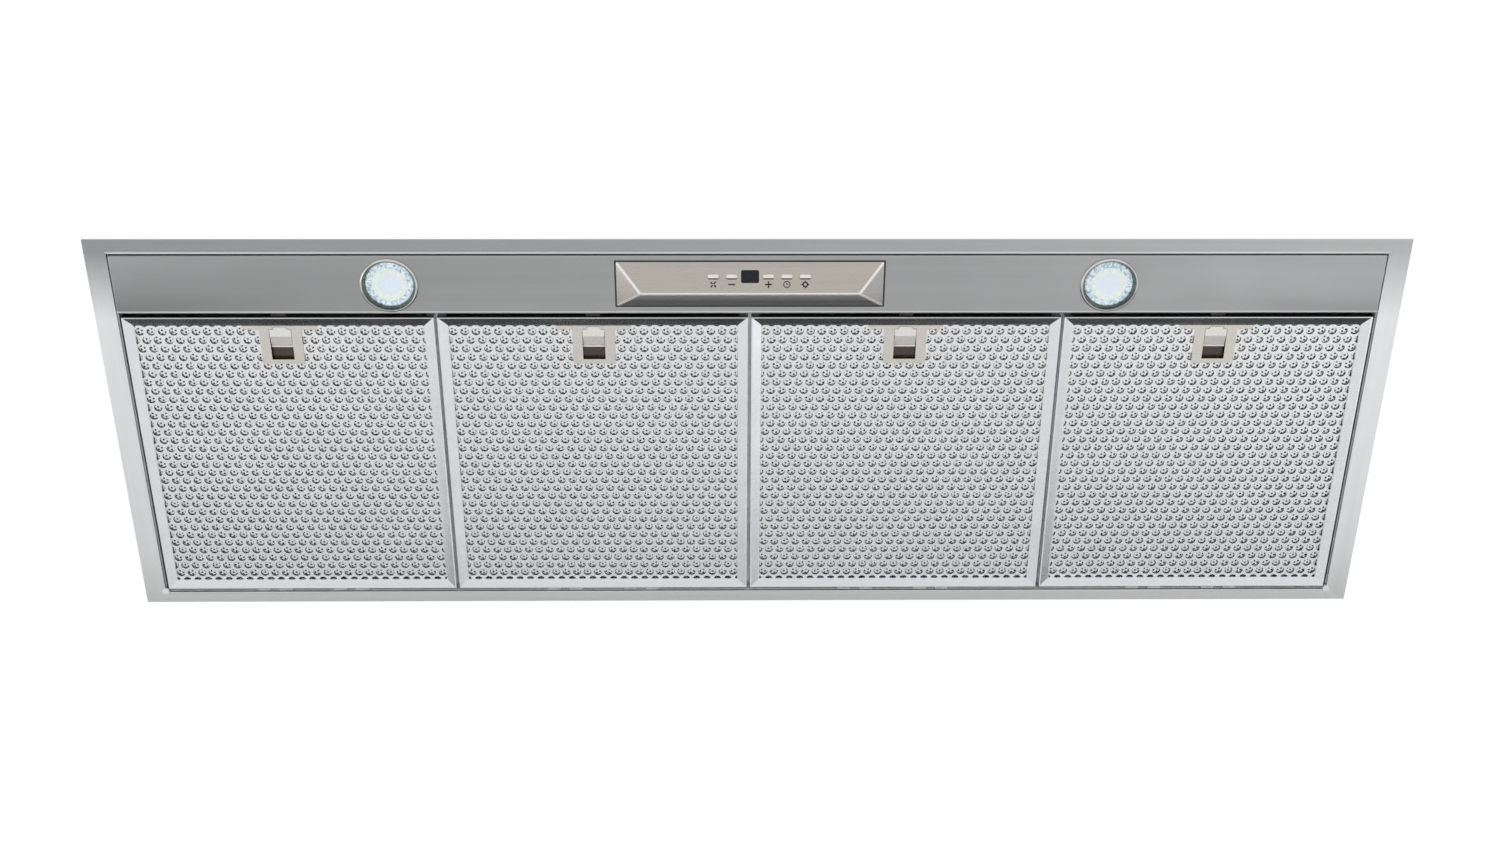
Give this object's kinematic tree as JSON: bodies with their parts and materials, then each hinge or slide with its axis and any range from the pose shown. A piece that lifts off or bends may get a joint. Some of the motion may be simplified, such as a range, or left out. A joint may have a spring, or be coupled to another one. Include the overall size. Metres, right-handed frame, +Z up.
{
  "type": "under cabinet range hood",
  "caption": "Wide stainless hood insert that fits under a cabinet, with drop-down perforated grease filters, round lamps, push-button controls and a ducted blower.",
  "frame": {"origin": "centre of the rim's upper face, the face that seats against the underside of the cabinet", "axes": "+X to the right as seen from in front, +Y towards the wall, +Z up"},
  "size_m": [1.2, 0.396, 0.331],
  "materials": {
    "brushed_steel": "brushed along the width",
    "strip_steel": "brushed, darker tone",
    "pod_steel": "brushed, warm tone",
    "galvanised": "zinc-coated sheet, spangled",
    "filter_frame": "bright rolled edge",
    "filter_mesh": "perforated sheet",
    "filter_core": "fine perforated layers",
    "latch_plate": "satin, warm tone",
    "latch": "satin",
    "display": "smoked window",
    "button": "bone white, fine texture",
    "circuit_board": "solder mask",
    "dark_plastic": "moulded",
    "light_plastic": "moulded",
    "lamp_ring": "satin chrome",
    "lens": "prismatic",
    "heat_sink": "cast, powder coated",
    "motor": "enamelled",
    "bare_steel": "machined",
    "wheel": "moulded",
    "flap": "rolled sheet",
    "cable": "sheathed"
  },
  "bodies": {
    "hood": {"rim_flange": "brushed_steel", "canopy_wrap": "galvanised", "canopy_end_left": "galvanised", "canopy_end_right": "galvanised", "motor_housing": "galvanised", "control_strip": "strip_steel", "control_bezel": "pod_steel", "display_window": "display", "control_board": "circuit_board", "control_cover": "dark_plastic", "filter_rail": "galvanised", "divider_bars": "galvanised", "lamp_bezel_left": "lamp_ring", "lamp_bezel_right": "lamp_ring", "lamp_lens_left": "lens", "lamp_lens_right": "lens", "lamp_body_left": "heat_sink", "lamp_body_right": "heat_sink", "led_driver": "light_plastic", "blower_scroll": "galvanised", "blower_motor": "motor", "motor_bracket": "bare_steel", "capacitor": "light_plastic", "duct_collar": "dark_plastic", "damper_pin": "bare_steel", "cable_gland": "dark_plastic", "junction_box": "galvanised", "junction_lid": "galvanised", "screws": "bare_steel", "corner_bumpers": "light_plastic", "wiring_loom": "cable"},
    "button_fan": {"button_fan": "button"},
    "button_minus": {"button_minus": "button"},
    "button_plus": {"button_plus": "button"},
    "button_timer": {"button_timer": "button"},
    "button_light": {"button_light": "button"},
    "blower_wheel": {"blower_wheel": "wheel", "motor_shaft": "bare_steel"},
    "damper_left": {"damper_flap_left": "flap"},
    "damper_right": {"damper_flap_right": "flap"},
    "filter_1": {"filter_1_frame": "filter_frame", "filter_1_screen": "filter_mesh", "filter_1_core": "filter_core", "filter_1_latch_plate": "latch_plate"},
    "latch_1": {"filter_1_latch": "latch"},
    "filter_2": {"filter_2_frame": "filter_frame", "filter_2_screen": "filter_mesh", "filter_2_core": "filter_core", "filter_2_latch_plate": "latch_plate"},
    "latch_2": {"filter_2_latch": "latch"},
    "filter_3": {"filter_3_frame": "filter_frame", "filter_3_screen": "filter_mesh", "filter_3_core": "filter_core", "filter_3_latch_plate": "latch_plate"},
    "latch_3": {"filter_3_latch": "latch"},
    "filter_4": {"filter_4_frame": "filter_frame", "filter_4_screen": "filter_mesh", "filter_4_core": "filter_core", "filter_4_latch_plate": "latch_plate"},
    "latch_4": {"filter_4_latch": "latch"}
  },
  "joints": [
    {"name": "filter_1_drop", "type": "hinge", "parent": "hood", "child": "filter_1", "pos_m": [-0.4335, 0.1836, -0.0015], "axis": [1, 0, 0], "range_deg": [0, 75]},
    {"name": "filter_2_drop", "type": "hinge", "parent": "hood", "child": "filter_2", "pos_m": [-0.1445, 0.1836, -0.0015], "axis": [1, 0, 0], "range_deg": [0, 75]},
    {"name": "filter_3_drop", "type": "hinge", "parent": "hood", "child": "filter_3", "pos_m": [0.1445, 0.1836, -0.0015], "axis": [1, 0, 0], "range_deg": [0, 75]},
    {"name": "filter_4_drop", "type": "hinge", "parent": "hood", "child": "filter_4", "pos_m": [0.4335, 0.1836, -0.0015], "axis": [1, 0, 0], "range_deg": [0, 75]},
    {"name": "latch_1_slide", "type": "slide", "parent": "filter_1", "child": "latch_1", "axis": [0, 1, 0], "range_m": [0, 0.006], "stiffness_N_per_m": 250, "springref_m": -0.008},
    {"name": "latch_2_slide", "type": "slide", "parent": "filter_2", "child": "latch_2", "axis": [0, 1, 0], "range_m": [0, 0.006], "stiffness_N_per_m": 250, "springref_m": -0.008},
    {"name": "latch_3_slide", "type": "slide", "parent": "filter_3", "child": "latch_3", "axis": [0, 1, 0], "range_m": [0, 0.006], "stiffness_N_per_m": 250, "springref_m": -0.008},
    {"name": "latch_4_slide", "type": "slide", "parent": "filter_4", "child": "latch_4", "axis": [0, 1, 0], "range_m": [0, 0.006], "stiffness_N_per_m": 250, "springref_m": -0.008},
    {"name": "press_fan", "type": "slide", "parent": "hood", "child": "button_fan", "axis": [0, 0.2992, 0.9542], "range_m": [0, 0.0008], "stiffness_N_per_m": 900, "springref_m": -0.0006},
    {"name": "press_minus", "type": "slide", "parent": "hood", "child": "button_minus", "axis": [0, 0.2992, 0.9542], "range_m": [0, 0.0008], "stiffness_N_per_m": 900, "springref_m": -0.0006},
    {"name": "press_plus", "type": "slide", "parent": "hood", "child": "button_plus", "axis": [0, 0.2992, 0.9542], "range_m": [0, 0.0008], "stiffness_N_per_m": 900, "springref_m": -0.0006},
    {"name": "press_timer", "type": "slide", "parent": "hood", "child": "button_timer", "axis": [0, 0.2992, 0.9542], "range_m": [0, 0.0008], "stiffness_N_per_m": 900, "springref_m": -0.0006},
    {"name": "press_light", "type": "slide", "parent": "hood", "child": "button_light", "axis": [0, 0.2992, 0.9542], "range_m": [0, 0.0008], "stiffness_N_per_m": 900, "springref_m": -0.0006},
    {"name": "wheel_spin", "type": "hinge", "parent": "hood", "child": "blower_wheel", "pos_m": [0, -0.02, 0.15], "axis": [1, 0, 0], "continuous": true},
    {"name": "damper_left_lift", "type": "hinge", "parent": "hood", "child": "damper_left", "pos_m": [0, 0.035, 0.276], "axis": [0, 1, 0], "range_deg": [0, 75]},
    {"name": "damper_right_lift", "type": "hinge", "parent": "hood", "child": "damper_right", "pos_m": [0, 0.035, 0.276], "axis": [0, -1, 0], "range_deg": [0, 75]}
  ]
}
